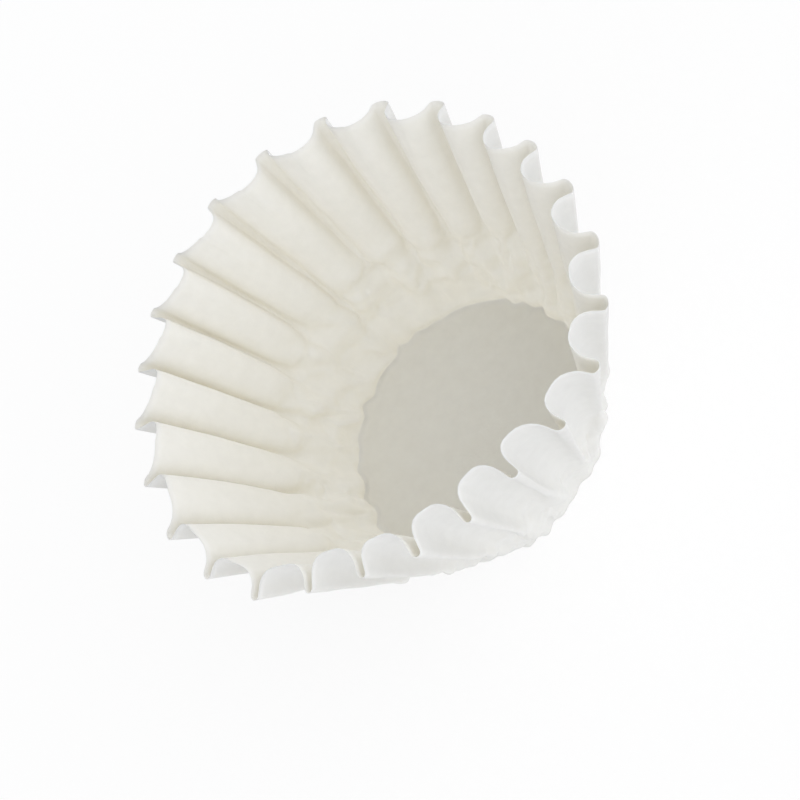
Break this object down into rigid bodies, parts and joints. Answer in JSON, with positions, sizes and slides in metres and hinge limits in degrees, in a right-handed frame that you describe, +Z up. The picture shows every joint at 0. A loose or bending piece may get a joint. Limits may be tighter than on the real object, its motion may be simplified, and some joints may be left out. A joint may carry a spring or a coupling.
{
  "type": "coffee filter",
  "caption": "Flat-bottomed basket filter of thin white paper, with a flat round base and a flared wall gathered into flutes, open at the top.",
  "frame": {"origin": "middle of the flat base's underside, level with what the filter stands on", "axes": "+Z up along the filter's own axis, out of the open mouth; +X runs through the middle of a lobe"},
  "size_m": [0.1351, 0.1354, 0.0676],
  "materials": {
    "paper": "matte"
  },
  "bodies": {
    "root": {"filter_paper": "paper"}
  },
  "joints": []
}
